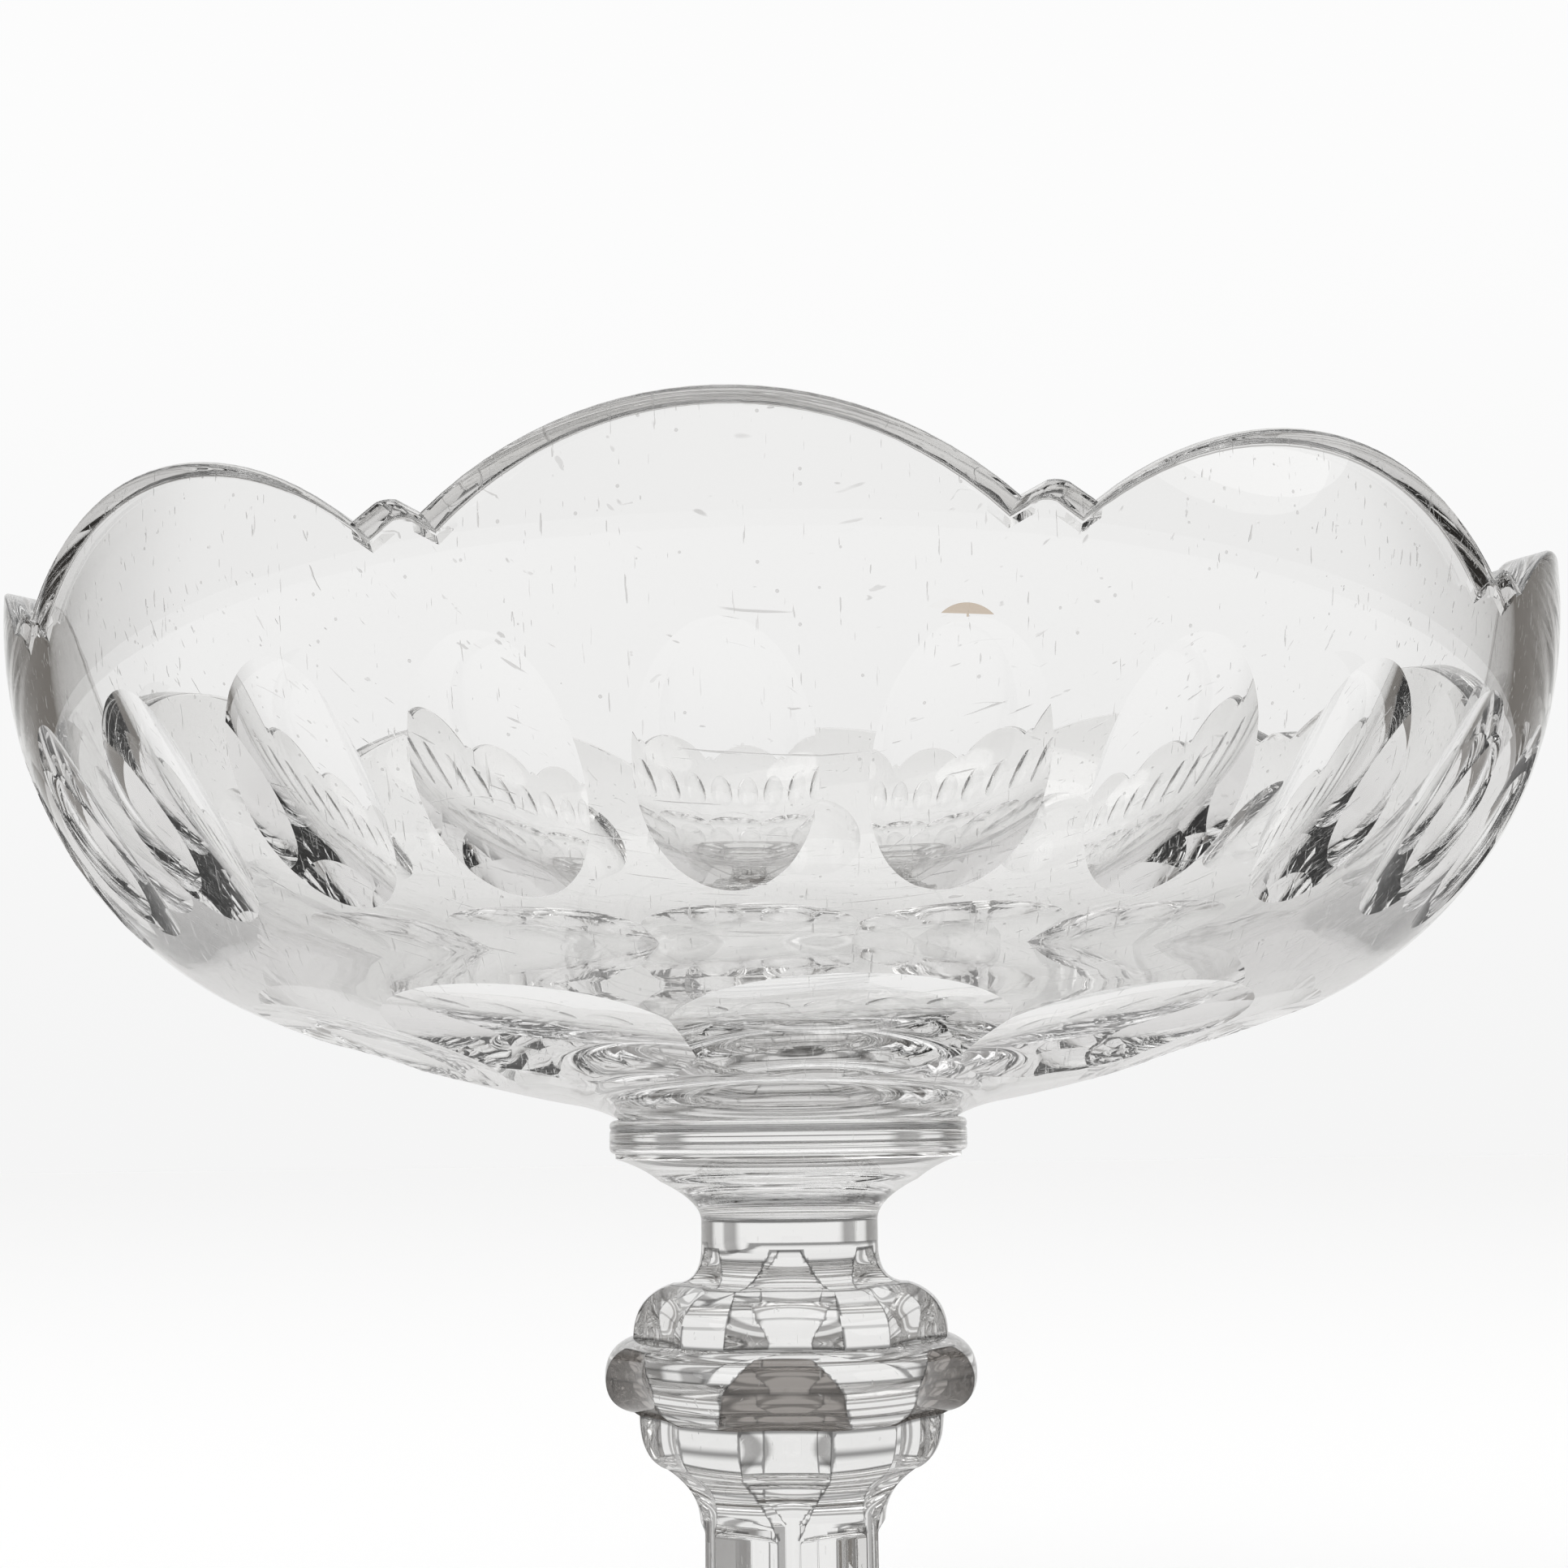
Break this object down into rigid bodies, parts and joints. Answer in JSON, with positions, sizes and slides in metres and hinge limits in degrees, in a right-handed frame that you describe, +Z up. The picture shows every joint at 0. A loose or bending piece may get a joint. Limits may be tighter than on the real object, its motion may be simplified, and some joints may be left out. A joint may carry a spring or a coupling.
{
  "type": "glass compote",
  "caption": "Footed cut-glass compote: a wide open bowl with a lobed rim on a collar, a capital, a panelled baluster stem and a round foot.",
  "frame": {"origin": "centre of the foot's resting face", "axes": "+Z up along the stem; -Y towards the side that the picture shows"},
  "size_m": [0.2292, 0.23, 0.1933],
  "materials": {
    "bowl_glass": "clear lead glass, fire-polished inside, polished cuts outside, finely scratched and chipped at the rim",
    "stem_glass": "clear lead glass, polished",
    "foot_glass": "clear lead glass, polished, with a ground ring underneath"
  },
  "bodies": {
    "root": {"bowl": "bowl_glass", "collar": "stem_glass", "capital": "stem_glass", "stem": "stem_glass", "foot": "foot_glass"}
  },
  "joints": []
}
